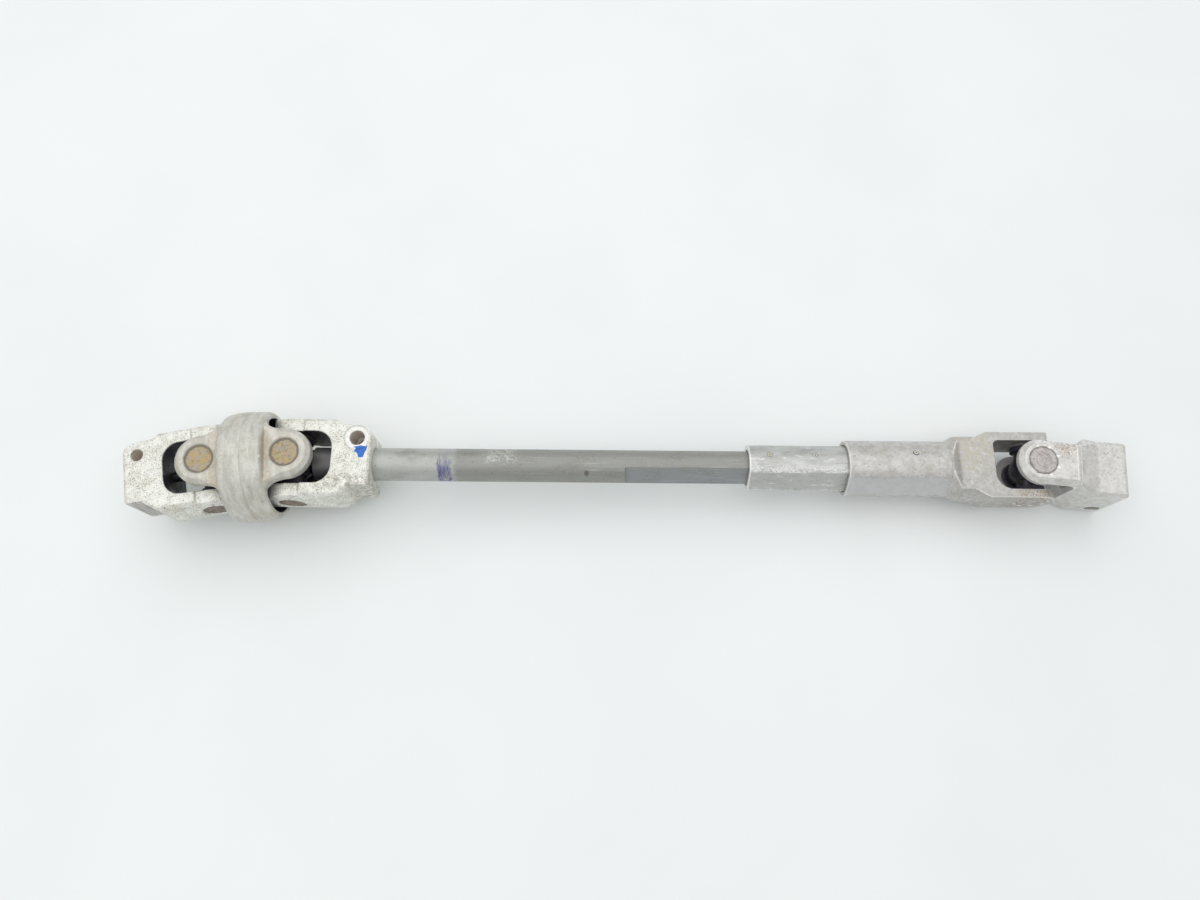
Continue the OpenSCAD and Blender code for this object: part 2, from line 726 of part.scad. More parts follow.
// Double-D socket that flares into the fork of the lower joint
module tube_yoke() color("whitesmoke") at_lower() {
  difference() {
    union() {
      along_x(-socket_mouth, -flare_from) double_d(socket_r, socket_flat);
      // Flared round body, flat above and below
      intersection() {
        rotate([0, 90, 0]) rotate_extrude() polygon(soft([
          [0, -flare_from - 3, 0],
          [socket_flat - 1, -flare_from - 3, 0],
          [flare_r, -flare_from + flare_len, 4],
          [flare_r, -fork_throat + fork_front_r, 0],
          [0, -fork_throat + fork_front_r, 0]
        ]));
        along_y(-far, far) polygon(soft(both([
          [-flare_from - 4, -socket_r - 1, 0],
          [-flare_from, -socket_r - 0.3, 3],
          [-flare_from + flare_len, -fork_top, 3],
          [-fork_throat + fork_front_r, -fork_top, 0]
        ])));
      }
      // Bevel-ended arm at the back and round-ended arm at the front
      intersection() {
        fork_plate();
        along_y(0, far) polygon(soft([
          [-far, -fork_top, 0],
          [fork_reach, -fork_top, 1],
          [fork_nose, -fork_top / 2, 2],
          [fork_nose, fork_top / 2, 2],
          [fork_reach, fork_top, 1],
          [-far, fork_top, 0]
        ]));
      }
      intersection() {
        mirror([0, 1, 0]) fork_plate();
        union() {
          rod_y(fork_top, -far, 0);
          box(-far, 0, -far, 0, -fork_top, fork_top);
        }
      }
    }
    along_z(-far, far) polygon(soft([
      [-fork_throat, -fork_half, fork_front_r],
      [-fork_throat, fork_half, fork_r],
      [far, fork_half, 0],
      [far, -fork_half, 0]
    ]));
    rod_y(cup_r, -far, far);
    pair_y() stakes(fork_out);
    // Seat of the slide tube, then a plain bore for the shaft's end
    along_x(-socket_mouth - over, -seat_end) double_d(socket_in_r, socket_in_flat);
    rod_x(tube_in_r, -seat_end - over, -socket_end);
    gates(socket_gates, 0, far);
  }
}
module socket_liner() color("ivory") at_lower() {
  difference() {
    union() {
      along_x(-socket_mouth + over, -seat_end) double_d(socket_in_r, socket_in_flat);
      intersection() {
        gates(socket_gates, tube_r, far);
        along_x(-socket_mouth, -seat_end) double_d(socket_r, socket_flat);
      }
    }
    along_x(-socket_mouth, -seat_end + over) double_d(tube_r, tube_flat);
  }
}
module tube_yoke_cups() color("tan") at_lower() pair_y() cup(tube_open, tube_cup, true);
module tube_yoke_needles() color("silver") at_lower() pair_y() needle_row(tube_open, tube_cup);

module lower_cross() color("dimgray") at_lower()
  cross(lower_hub_r, 0, tube_open, tube_cup, gear_open, gear_cup);
module lower_cross_seals() color("black") at_lower() {
  pair_y() seal(tube_open);
  pair_z() seal(gear_open);
}

// Fork with a clamp block for the steering gear's input shaft
module gear_yoke() color("gainsboro") at_gear() {
  half_w = block_w / 2;
  difference() {
    intersection() {
      along_z(-far, far) union() {
        circle(gear_lug_r);
        polygon(soft([
          [0, -gear_lug_r + 0.4, 0],
          [gear_throat, -gear_lug_r + 0.8, 9],
          [block_start + 2, -half_w, 5],
          [gear_end, -half_w, 2],
          [gear_end, half_w, 2],
          [block_start + 4, half_w, 3],
          [block_start - 1, half_w + 1.2, 1.2],
          [gear_throat + 1.5, gear_lug_r - 1.6, 4],
          [0, gear_lug_r - 0.4, 0]
        ]));
      }
      along_y(-far, far) polygon(soft([
        [-far, gear_out, 0],
        [gear_throat - 1, gear_out, 4],
        [block_start + 5, block_top, 6],
        [gear_end, block_top, 2],
        [gear_end, -block_bottom, 2],
        [block_start + 2, -block_bottom, 4],
        [block_start - 5, -gear_out, 5],
        [-far, -gear_out, 0]
      ]));
    }
    // Bevels along the block, and round the ends of the lugs
    lean_cut([block_start, -half_w], [gear_end, -half_w], 45, block_top - block_bevel);
    lean_cut([gear_end, half_w], [block_start, half_w], 45, block_top - block_bevel);
    mirror([0, 0, 1]) {
      lean_cut([block_start, -half_w], [gear_end, -half_w], 45, block_bottom - block_bevel);
      lean_cut([gear_end, half_w], [block_start, half_w], 45, block_bottom - block_bevel);
    }
    intersection() {
      pair_z() rotate_extrude() polygon([
        [gear_lug_r - gear_lip, gear_out],
        [gear_lug_r + over, gear_out - gear_lip - over],
        [gear_lug_r + over, gear_out + over],
        [gear_lug_r - gear_lip, gear_out + over]
      ]);
      box(-far, 0, -far, far, -far, far);
    }
    // Throat between the lugs, and the eyes for the cups
    along_y(-far, far) polygon(soft([
      [-far, -gear_in, 0],
      [gear_throat, -gear_in, gear_throat_r],
      [gear_throat, gear_in, gear_throat_r],
      [-far, gear_in, 0]
    ]));
    rod_z(cup_r, -far, far);
    pair_z() stakes(gear_out);
    // Clamp bore, slot and pinch-bolt hole
    rod_x(gear_bore_r, gear_throat - over, gear_end + over);
    box(block_start + 2, gear_end + over, -gear_slot_w / 2, gear_slot_w / 2, -far, 0);
    translate([gear_bolt_x, 0, -gear_bolt_z]) {
      rod_y(bolt_hole_r, -far, 0);
      rod_y(tap_r, -over, far);
    }
  }
}
module gear_yoke_cups() color("tan") at_gear() pair_z() cup(gear_open, gear_cup, true);
module gear_yoke_needles() color("silver") at_gear() pair_z() needle_row(gear_open, gear_cup);

column_yoke();
column_yoke_cups();
column_yoke_needles();
centring_sleeve();
centring_plug();
upper_cross();
upper_cross_seals();
coupling_ring();
ring_cups();
ring_needles();
middle_cross();
middle_cross_seals();
shaft_yoke();
shaft_yoke_cups();
shaft_yoke_needles();
steel_shaft();
centring_stud();
slide_tube();
shaft_liner();
tube_yoke();
socket_liner();
tube_yoke_cups();
tube_yoke_needles();
lower_cross();
lower_cross_seals();
gear_yoke();
gear_yoke_cups();
gear_yoke_needles();
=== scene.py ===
import bpy
import json
import math
from mathutils import Matrix, Vector


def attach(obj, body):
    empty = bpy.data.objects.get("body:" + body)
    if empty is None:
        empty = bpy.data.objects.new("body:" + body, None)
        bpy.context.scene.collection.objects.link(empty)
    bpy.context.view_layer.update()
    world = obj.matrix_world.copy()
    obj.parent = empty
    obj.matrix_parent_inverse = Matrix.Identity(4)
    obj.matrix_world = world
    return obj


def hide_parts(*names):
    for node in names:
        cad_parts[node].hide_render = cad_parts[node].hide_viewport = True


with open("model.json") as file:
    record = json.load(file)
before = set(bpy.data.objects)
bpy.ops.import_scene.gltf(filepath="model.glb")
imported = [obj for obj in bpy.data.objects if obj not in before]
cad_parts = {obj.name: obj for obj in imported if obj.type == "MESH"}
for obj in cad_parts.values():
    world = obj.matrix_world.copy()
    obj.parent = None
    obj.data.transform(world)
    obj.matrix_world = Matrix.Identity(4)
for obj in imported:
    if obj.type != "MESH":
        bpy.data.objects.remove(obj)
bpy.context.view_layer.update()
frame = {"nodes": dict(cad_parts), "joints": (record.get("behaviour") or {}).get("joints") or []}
nodes = frame["nodes"]
scene = bpy.context.scene
jointAt = {j["name"]: Vector(j["pos_m"]) for j in frame["joints"] if "pos_m" in j}
middleAt, upperAt, lowerAt = jointAt["middle_pitch"], jointAt["upper_swing"], jointAt["lower_pitch"]
ringAt = (middleAt + upperAt) / 2
flatTurn = 59.0  # roll of the shaft's flats, degrees
flatNear = {"from": 0.00020, "plane": 0.00010, "round": 0.00008}  # depth under a face that counts as on it
turns = {"column": 11.0, "ring": 5.5, "shaft": 0.0, "tube": 0.0, "gear": -5.0}  # swing at rest, degrees
print("frame loaded:", len(nodes), "nodes")


# colours are noted as they look on screen, 0 to 255
def tone(r, g, b):
    def lin(v):
        v /= 255
        return v / 12.92 if v <= 0.04045 else ((v + 0.055) / 1.055) ** 2.4
    return (lin(r), lin(g), lin(b), 1.0)


def newMaterial(name, metallic, roughness):
    mat = bpy.data.materials.new(name)
    mat.use_nodes = True
    tree = mat.node_tree
    shader = tree.nodes["Principled BSDF"]
    shader.inputs["Metallic"].default_value = metallic
    shader.inputs["Roughness"].default_value = roughness
    return mat, tree, shader


def addNode(tree, kind, **settings):
    node = tree.nodes.new(kind)
    for key, value in settings.items():
        setattr(node, key, value)
    return node


def feed(tree, socket, value):
    if isinstance(value, bpy.types.NodeSocket):
        tree.links.new(value, socket)
    else:
        socket.default_value = value


# coordinates of one piece: origin at its joint centre, X along its own axis
def pieceSpace(tree, centre=(0, 0, 0), turn=0.0, stretch=(1, 1, 1), roll=0.0):
    coord = addNode(tree, "ShaderNodeTexCoord")
    mapping = addNode(tree, "ShaderNodeMapping", vector_type="TEXTURE")
    mapping.inputs["Location"].default_value = centre
    mapping.inputs["Rotation"].default_value = (math.radians(roll), 0, math.radians(turn))
    mapping.inputs["Scale"].default_value = stretch
    tree.links.new(coord.outputs["Object"], mapping.inputs["Vector"])
    return mapping.outputs["Vector"]


def noise(tree, space, scale, detail=4.0, roughness=0.55):
    node = addNode(tree, "ShaderNodeTexNoise")
    node.inputs["Scale"].default_value = scale
    node.inputs["Detail"].default_value = detail
    node.inputs["Roughness"].default_value = roughness
    tree.links.new(space, node.inputs["Vector"])
    return node.outputs["Fac"]


def noises(tree, space, grains):
    return {name: noise(tree, space, *grain) for name, grain in grains.items()}


# noises drawn out to streaks, each with its turn, stretch and grain
def streaks(tree, centre, grains):
    return {name: noise(tree, pieceSpace(tree, centre, turn, stretch), *grain)
            for name, (turn, stretch, grain) in grains.items()}


def remap(tree, value, low, high, toLow=0.0, toHigh=1.0):
    node = addNode(tree, "ShaderNodeMapRange", interpolation_type="SMOOTHSTEP")
    for name, v in (("From Min", low), ("From Max", high), ("To Min", toLow), ("To Max", toHigh)):
        node.inputs[name].default_value = v
    tree.links.new(value, node.inputs["Value"])
    return node.outputs["Result"]


# full below low and nothing above high
def fade(tree, value, low, high):
    return remap(tree, value, low, high, 1.0, 0.0)


def maths(tree, operation, a, b=0.0):
    node = addNode(tree, "ShaderNodeMath", operation=operation)
    feed(tree, node.inputs[0], a)
    feed(tree, node.inputs[1], b)
    return node.outputs[0]


def product(tree, *values):
    out = values[0]
    for v in values[1:]:
        out = maths(tree, "MULTIPLY", out, v)
    return out


def apart(tree, value, place):
    return maths(tree, "ABSOLUTE", maths(tree, "SUBTRACT", value, place))


def nearest(tree, distances):
    least = distances[0]
    for distance in distances[1:]:
        least = maths(tree, "MINIMUM", least, distance)
    return least


# noise about zero, which makes an edge uneven
def wander(tree, space, reach, grain):
    return maths(tree, "MULTIPLY", maths(tree, "SUBTRACT", noise(tree, space, *grain), 0.5), reach)


def varied(tree, base, value, amount):
    return maths(tree, "ADD", base, maths(tree, "MULTIPLY", value, amount))


# the mix node has a set of sockets per data type, and these are its colours
mixSockets = {"first": 6, "second": 7, "result": 2}


def mixTone(tree, fac, a, b):
    node = addNode(tree, "ShaderNodeMix", data_type="RGBA")
    feed(tree, node.inputs["Factor"], fac)
    feed(tree, node.inputs[mixSockets["first"]], a)
    feed(tree, node.inputs[mixSockets["second"]], b)
    return node.outputs[mixSockets["result"]]


def splitSpace(tree, space):
    node = addNode(tree, "ShaderNodeSeparateXYZ")
    tree.links.new(space, node.inputs[0])
    return node.outputs


# distance of a point from the axis through (x, y), in the plane of the first two axes given
def fromAxis(tree, axes, x=0.0, y=0.0):
    dx = maths(tree, "SUBTRACT", axes[0], x)
    dy = maths(tree, "SUBTRACT", axes[1], y)
    squares = maths(tree, "ADD", maths(tree, "MULTIPLY", dx, dx), maths(tree, "MULTIPLY", dy, dy))
    return maths(tree, "SQRT", squares)


# links a finished colour and roughness, and bumps with their strength and depth
def finishShader(tree, shader, colour, rough, heights, bumps):
    tree.links.new(colour, shader.inputs["Base Color"])
    tree.links.new(rough, shader.inputs["Roughness"])
    normal = None
    for name, (strength, depth) in bumps.items():
        bump = addNode(tree, "ShaderNodeBump")
        bump.inputs["Strength"].default_value = strength
        bump.inputs["Distance"].default_value = depth
        tree.links.new(heights[name], bump.inputs["Height"])
        if normal is not None:
            tree.links.new(normal, bump.inputs["Normal"])
        normal = bump.outputs["Normal"]
    tree.links.new(normal, shader.inputs["Normal"])


# dirt, and painted shade, in a piece's own corners, found by ambient occlusion
def cornerShadeAndDirt(tree, reach, mask):
    node = addNode(tree, "ShaderNodeAmbientOcclusion", samples=8, only_local=True)
    node.inputs["Distance"].default_value = reach
    return remap(tree, node.outputs["AO"], *mask)


# rims come out lighter on the dense meshes: wear, and painted highlight along the edges
def wornEdgesAndHighlights(tree, mask):
    node = addNode(tree, "ShaderNodeNewGeometry")
    return remap(tree, node.outputs["Pointiness"], *mask)


# the shaft's and the tubes' own axes, with Z square to the flats
def rolledAxes(tree):
    return splitSpace(tree, pieceSpace(tree, lowerAt, roll=flatTurn))


# 1 on a bar's or a tube's two flats, 0 on its round sides
def flatMask(tree, half, radius):
    rolled = rolledAxes(tree)
    up = maths(tree, "ABSOLUTE", rolled[2])
    onPlane = remap(tree, up, half - flatNear["from"], half - flatNear["plane"])
    out = fromAxis(tree, (rolled[1], rolled[2]))
    return product(tree, onPlane, fade(tree, out, radius - flatNear["from"], radius - flatNear["round"]))


# in the tables of looks a grain is a noise's scale, detail and roughness, and a mask runs from one
# value to another, with its strengths at both where they aren't 0 and 1; lengths are in metres
castLook = {
    "metallic": 0.3, "roughness": 0.40, "speckRough": 0.15, "throatGloss": 0.12,
    "grains": {"patches": (70.0, 6.0, 0.65), "blots": (210.0, 5.0, 0.65), "pits": (900.0, 4.0, 0.75),
               "specks": (1250.0, 3.0, 0.7), "sand": (3200.0, 2.0, 0.6)},
    "pale": tone(238, 239, 231), "dull": tone(218, 218, 207), "dullMask": (0.36, 0.66),
    "stain": tone(200, 193, 172), "stainMask": (0.35, 0.6), "patchMask": (0.56, 0.70, 0.0, 0.45),
    "cornerReach": 0.006, "cornerMask": (0.5, 0.95, 0.9, 0.0),
    "speck": tone(142, 138, 122), "speckMask": (0.53, 0.62), "speckShare": (0.35, 0.6, 0.4, 0.95),
    "pit": tone(96, 92, 82), "pitMask": (0.60, 0.66), "pitShare": (0.40, 0.58, 0.2, 1.0),
    "grimeAndShade": tone(158, 155, 143), "grimeGrain": (480.0, 5.0, 0.7), "grimeMask": (0.42, 0.60),
    "grimeBand": (0.0015, 0.0065, 0.85, 0.0), "grimeAlong": (0.010, 0.020),
    "bright": tone(246, 247, 243), "edgeMask": (0.515, 0.57, 0.0, 0.75),
    # the milled face's dark tone is painted shade
    "milled": tone(138, 136, 130), "milledAcross": (-0.0159, -0.0156, 1.0, 0.0),
    "milledAlong": (0.0358, 0.0364), "milledShare": 0.9,
    "cutter": tone(206, 205, 198), "cutterStretch": (1, 1, 30), "cutterGrain": (1100.0, 3.0),
    "cutterMask": (0.38, 0.62),
    "drilled": tone(226, 214, 206), "boltAt": (0.0373, 0.0115), "boltMask": (0.0045, 0.0048, 0.9, 0.0),
    "boltTall": (0.0138, 0.0144, 1.0, 0.0),
    "seatMask": (0.0068, 0.0073, 0.55, 0.0), "seatTop": (0.0142, 0.0146),
    # the throat's dark tone is painted shade, and the scuff tone its lighter smears
    "throatShade": tone(56, 54, 66), "scuff": tone(112, 109, 114), "throatSmearGrain": (150.0, 5.0, 0.7),
    "throatSmearMask": (0.50, 0.72), "throatGrain": (330.0,), "throatUneven": 0.0010,
    "throatSide": (0.0152, 0.0156, 1.0, 0.0), "throatAlong": (0.0238, 0.0247, 1.0, 0.0),
    "throatTall": (0.0148, 0.0154, 1.0, 0.0),
    "seamTall": (0.0002, 0.0005, 1.0, 0.0), "seamSide": (0.016, 0.018),
    "bumps": {"seam": (0.6, 0.0003), "blots": (0.25, 0.0006), "pits": (0.35, 0.0004), "sand": (0.3, 0.0002)},
}
dabLook = {
    "paint": tone(6, 96, 190), "cover": 0.95, "at": 0.0398, "top": 0.0064, "half": 0.0041, "height": 0.0068,
    "grain": (420.0, 3.0), "uneven": 0.0028, "lean": 0.12, "taper": 0.42, "edge": 0.0002, "foot": 0.0003,
    "above": (0.010, 0.011),
}


# paint mark left by the fitter, broad above and narrow below
def paintDab(tree, space, axes):
    look = dabLook
    uneven = wander(tree, space, look["uneven"], look["grain"])
    drop = maths(tree, "SUBTRACT", look["top"], maths(tree, "ADD", axes[1], uneven))  # 0 at the upper edge
    lean = maths(tree, "SUBTRACT", axes[0], varied(tree, look["at"], drop, look["lean"]))
    half = maths(tree, "SUBTRACT", look["half"], maths(tree, "MULTIPLY", drop, look["taper"]))
    across = maths(tree, "SUBTRACT", maths(tree, "ABSOLUTE", maths(tree, "ADD", lean, uneven)), half)
    return product(tree, fade(tree, across, -look["edge"], look["edge"]),
                   remap(tree, drop, -look["edge"], look["edge"]),
                   fade(tree, drop, look["height"] - look["foot"], look["height"]),
                   remap(tree, axes[2], *look["above"]), look["cover"])


# blasted casting with dark pits, corners stained and darkened by painted shade, and a throat painted dark as
# painted shade
def castMaterial(name, centre, turn, flip, spotFace=False, dabbed=False, milledFace=False, grimeAt=None):
    look = castLook
    mat, tree, shader = newMaterial(name, look["metallic"], look["roughness"])
    space = pieceSpace(tree, centre, turn)
    axes = splitSpace(tree, space)
    along = maths(tree, "MULTIPLY", axes[0], flip)
    side = maths(tree, "ABSOLUTE", axes[1])
    tall = maths(tree, "ABSOLUTE", axes[2])
    grain = noises(tree, space, look["grains"])
    blots, patches = grain["blots"], grain["patches"]
    colour = mixTone(tree, remap(tree, blots, *look["dullMask"]), look["pale"], look["dull"])
    # stain in the corners found by ambient occlusion: real stain, with painted shade in the corners
    corners = cornerShadeAndDirt(tree, look["cornerReach"], look["cornerMask"])
    stained = maths(tree, "MAXIMUM", product(tree, corners, remap(tree, blots, *look["stainMask"])),
                    remap(tree, patches, *look["patchMask"]))
    colour = mixTone(tree, stained, colour, look["stain"])
    specked = product(tree, remap(tree, grain["specks"], *look["speckMask"]),
                      remap(tree, blots, *look["speckShare"]))
    colour = mixTone(tree, specked, colour, look["speck"])
    pitted = product(tree, remap(tree, grain["pits"], *look["pitMask"]),
                     remap(tree, patches, *look["pitShare"]))
    colour = mixTone(tree, pitted, colour, look["pit"])
    if grimeAt:  # darker patches along the edge beside the clamp: grime, with painted shade of the lower facets
        grimeAndShade = product(tree, remap(tree, apart(tree, axes[1], grimeAt), *look["grimeBand"]),
                        remap(tree, along, *look["grimeAlong"]),
                        remap(tree, noise(tree, space, *look["grimeGrain"]), *look["grimeMask"]))
        colour = mixTone(tree, grimeAndShade, colour, look["grimeAndShade"])
    # bright edges: wear, and painted highlight
    colour = mixTone(tree, wornEdgesAndHighlights(tree, look["edgeMask"]), colour, look["bright"])
    if milledFace:  # milled face beside the clamp, painted dark as painted shade, with cutter lines that stand upright
        milled = product(tree, remap(tree, axes[1], *look["milledAcross"]),
                         remap(tree, along, *look["milledAlong"]), look["milledShare"])
        lines = noise(tree, pieceSpace(tree, centre, turn, look["cutterStretch"]), *look["cutterGrain"])
        cut = mixTone(tree, remap(tree, lines, *look["cutterMask"]), look["milled"], look["cutter"])
        colour = mixTone(tree, milled, colour, cut)
    fromBolt = fromAxis(tree, axes, look["boltAt"][0] * flip, look["boltAt"][1])
    drilled = product(tree, remap(tree, fromBolt, *look["boltMask"]), remap(tree, tall, *look["boltTall"]))
    colour = mixTone(tree, drilled, colour, look["drilled"])
    if spotFace:  # where the bolt's head sat
        seat = product(tree, remap(tree, fromBolt, *look["seatMask"]), remap(tree, axes[2], *look["seatTop"]))
        colour = mixTone(tree, seat, colour, look["bright"])
    if dabbed:
        colour = mixTone(tree, paintDab(tree, space, axes), colour, dabLook["paint"])
    # the throat's walls painted dark as painted shade, lighter in scuffed smears where the lugs rub
    uneven = wander(tree, space, look["throatUneven"], look["throatGrain"])
    throat = product(tree, remap(tree, maths(tree, "ADD", side, uneven), *look["throatSide"]),
                     remap(tree, along, *look["throatAlong"]),
                     remap(tree, maths(tree, "ADD", tall, uneven), *look["throatTall"]))
    smears = remap(tree, noise(tree, space, *look["throatSmearGrain"]), *look["throatSmearMask"])
    colour = mixTone(tree, throat, colour, mixTone(tree, smears, look["throatShade"], look["scuff"]))
    rough = varied(tree, look["roughness"], grain["specks"], look["speckRough"])
    rough = maths(tree, "SUBTRACT", rough, maths(tree, "MULTIPLY", throat, look["throatGloss"]))
    grain["seam"] = product(tree, remap(tree, tall, *look["seamTall"]),
                            remap(tree, side, *look["seamSide"]))
    finishShader(tree, shader, colour, rough, grain, look["bumps"])
    return mat


ringLook = {
    "metallic": 0.3, "roughness": 0.34, "patchRough": 0.25,
    "grains": {"patches": (95.0, 5.0, 0.6), "blots": (260.0, 5.0, 0.65), "pits": (900.0, 4.0, 0.75),
               "specks": (1250.0, 3.0, 0.7), "sand": (3200.0, 2.0, 0.6)},
    "streaks": {"barrel": (turns["ring"], (0.3, 1, 1), (90.0, 6.0, 0.65))},
    "pale": tone(212, 211, 203), "dull": tone(190, 188, 177), "dullMask": (0.36, 0.64),
    "stain": tone(190, 178, 156), "stainMask": (0.34, 0.58), "patchMask": (0.5, 0.66, 0.0, 0.25),
    "cornerReach": 0.007, "cornerMask": (0.5, 0.95, 1.0, 0.0),
    "lugAlong": (0.0110, 0.0135), "lugTop": (0.0240, 0.0246), "lugRoot": (0.0145, 0.0185, 0.9, 0.15),
    "pit": tone(138, 130, 112), "pitMask": (0.59, 0.66), "pitShare": (0.4, 0.6),
    "speckMask": (0.56, 0.68), "speckShare": (0.4, 0.6, 0.2, 0.7),
    "bright": tone(238, 238, 233), "edgeMask": (0.512, 0.56, 0.0, 0.8),
    # the dark tone is painted shade for the ring's inside
    "dark": tone(52, 50, 54), "hollowTall": (0.0168, 0.0172, 1.0, 0.0),
    "hollowOut": (0.0272, 0.0278, 1.0, 0.0),
    "seamX": 0.0015, "seamMask": (0.0002, 0.0005, 0.2, 0.0),
    "bumps": {"blots": (0.3, 0.0008), "pits": (0.35, 0.0004), "sand": (0.35, 0.0002)},
}


# the ring is greyer than the yokes, streaked round its barrel and brown by its lugs
def ringMaterial():
    look = ringLook
    mat, tree, shader = newMaterial("ringCasting", look["metallic"], look["roughness"])
    space = pieceSpace(tree, ringAt, turns["ring"])
    axes = splitSpace(tree, space)
    along = maths(tree, "ABSOLUTE", axes[0])
    tall = maths(tree, "ABSOLUTE", axes[2])
    barrel = streaks(tree, ringAt, look["streaks"])["barrel"]
    grain = noises(tree, space, look["grains"])
    blots, patches = grain["blots"], grain["patches"]
    colour = mixTone(tree, remap(tree, barrel, *look["dullMask"]), look["pale"], look["dull"])
    byLug = product(tree, remap(tree, along, *look["lugAlong"]), remap(tree, tall, *look["lugTop"]),
                    remap(tree, along, *look["lugRoot"]))
    # brown stain by the lugs, and in the corners found by ambient occlusion: real stain, with painted shade
    # in the corners
    corners = cornerShadeAndDirt(tree, look["cornerReach"], look["cornerMask"])
    brown = product(tree, remap(tree, blots, *look["stainMask"]), maths(tree, "MAXIMUM", corners, byLug))
    colour = mixTone(tree, brown, colour, look["stain"])
    colour = mixTone(tree, remap(tree, patches, *look["patchMask"]), colour, look["stain"])
    specked = product(tree, remap(tree, grain["specks"], *look["speckMask"]),
                      remap(tree, blots, *look["speckShare"]))
    colour = mixTone(tree, specked, colour, look["pit"])
    pitted = product(tree, remap(tree, grain["pits"], *look["pitMask"]),
                     remap(tree, patches, *look["pitShare"]))
    colour = mixTone(tree, pitted, colour, look["pit"])
    # bright edges: wear, and painted highlight
    colour = mixTone(tree, wornEdgesAndHighlights(tree, look["edgeMask"]), colour, look["bright"])
    # the ring's inside painted dark: painted shade in the hollow
    hollowShade = product(tree, remap(tree, tall, *look["hollowTall"]),
                     remap(tree, fromAxis(tree, (axes[1], axes[2])), *look["hollowOut"]))
    colour = mixTone(tree, hollowShade, colour, look["dark"])
    seam = remap(tree, apart(tree, axes[0], look["seamX"]), *look["seamMask"])
    colour = mixTone(tree, seam, colour, look["pit"])
    rough = varied(tree, look["roughness"], patches, look["patchRough"])
    finishShader(tree, shader, colour, rough, grain, look["bumps"])
    return mat


forgedLook = {
    "metallic": 0.4, "roughness": 0.28, "patchRough": 0.24,
    "grains": {"patches": (85.0, 6.0, 0.65), "blots": (240.0, 5.0, 0.65), "freckle": (1300.0, 4.0, 0.7),
               "sand": (3000.0, 2.0, 0.6), "specks": (800.0, 3.0), "smears": (160.0, 4.0)},
    "streaks": {"scrapes": (38.0, (12, 1, 1), (1000.0, 3.0, 0.6))},
    "dullMask": (0.36, 0.66),
    # this tone serves the dirt patches and scrapes, and the painted shade in the corners
    "dirtAndShade": tone(176, 170, 156), "patchMask": (0.55, 0.72, 0.0, 0.35), "scrapeMask": (0.54, 0.68, 0.0, 0.4),
    "scrapeShare": (0.38, 0.55), "cornerReach": 0.005, "cornerMask": (0.5, 0.95, 0.8, 0.0),
    "fork": tone(170, 169, 164), "forkFrom": (-0.0495, -0.0455), "forkGrain": (420.0, 5.0, 0.7),
    "forkMask": (0.38, 0.62, 0.1, 0.75),
    "tan": tone(196, 189, 170), "tanAt": (-0.036, 0.011), "tanReach": (0.006, 0.022, 0.55, 0.0),
    "tanMask": (0.40, 0.58),
    "rust": tone(150, 120, 80), "rustMask": (0.48, 0.58),
    "speck": tone(126, 120, 110), "speckMask": (0.63, 0.69, 0.0, 0.7),
    "bright": tone(244, 244, 241), "edgeMask": (0.512, 0.555, 0.0, 0.8),
    "flat": tone(196, 197, 199), "socketHalf": 0.0147, "socketRadius": 0.016225,
    "flatTo": (-0.0515, -0.0495, 0.65, 0.0),
    "smearMask": (0.4, 0.6),
    "cupRadius": 0.0080, "jointMask": (0.0002, 0.0005, 0.6, 0.0),
    "stakes": 8, "stakeAt": 0.00866, "stakeMask": (0.0009, 0.0012, 0.9, 0.0),
    "lineMask": (0.0001, 0.0005, 0.7, 0.0), "lineTop": (0.0185, 0.0195), "lineShare": (0.36, 0.5),
    "bumps": {"blots": (0.25, 0.0006), "freckle": (0.3, 0.0003), "sand": (0.25, 0.00015)},
}
# places on the two forgings, measured from the lower joint; a throat's walls face along its axis
tubeForging = {
    "tones": (tone(205, 205, 203), tone(184, 183, 178)), "socket": True, "lines": (),
    "rustAt": (-0.002, -0.017), "rustReach": (0.0048, 0.016, 0.95, 0.12),
    # the tube yoke's throat is painted dark, with lighter smears: painted shade
    "throat": {"axis": 1, "flip": -1.0, "tones": (tone(70, 68, 70), tone(178, 176, 173)),
               "across": (0.0141, 0.0146, 0.85, 0.0), "along": (0.0235, 0.0245, 1.0, 0.0),
               "tall": (0.0117, 0.0123, 1.0, 0.0), "outer": (0.0183, 0.0188)},
}
gearForging = {
    "tones": (tone(224, 224, 221), tone(205, 204, 199)), "socket": False, "lines": (0.0190, 0.0213),
    "rustAt": (0.012, 0.009), "rustReach": (0.0027, 0.009, 0.95, 0.12),
    # the gear yoke's throat is painted near white: painted bounce light on its milled faces
    "throat": {"axis": 2, "flip": 1.0, "tones": (tone(250, 250, 249), tone(238, 237, 233)),
               "across": (0.0150, 0.0155, 0.9, 0.0), "along": (0.0210, 0.0220, 1.0, 0.0),
               "tall": (0.0122, 0.0128, 1.0, 0.0), "outer": (0.0192, 0.0197)},
}


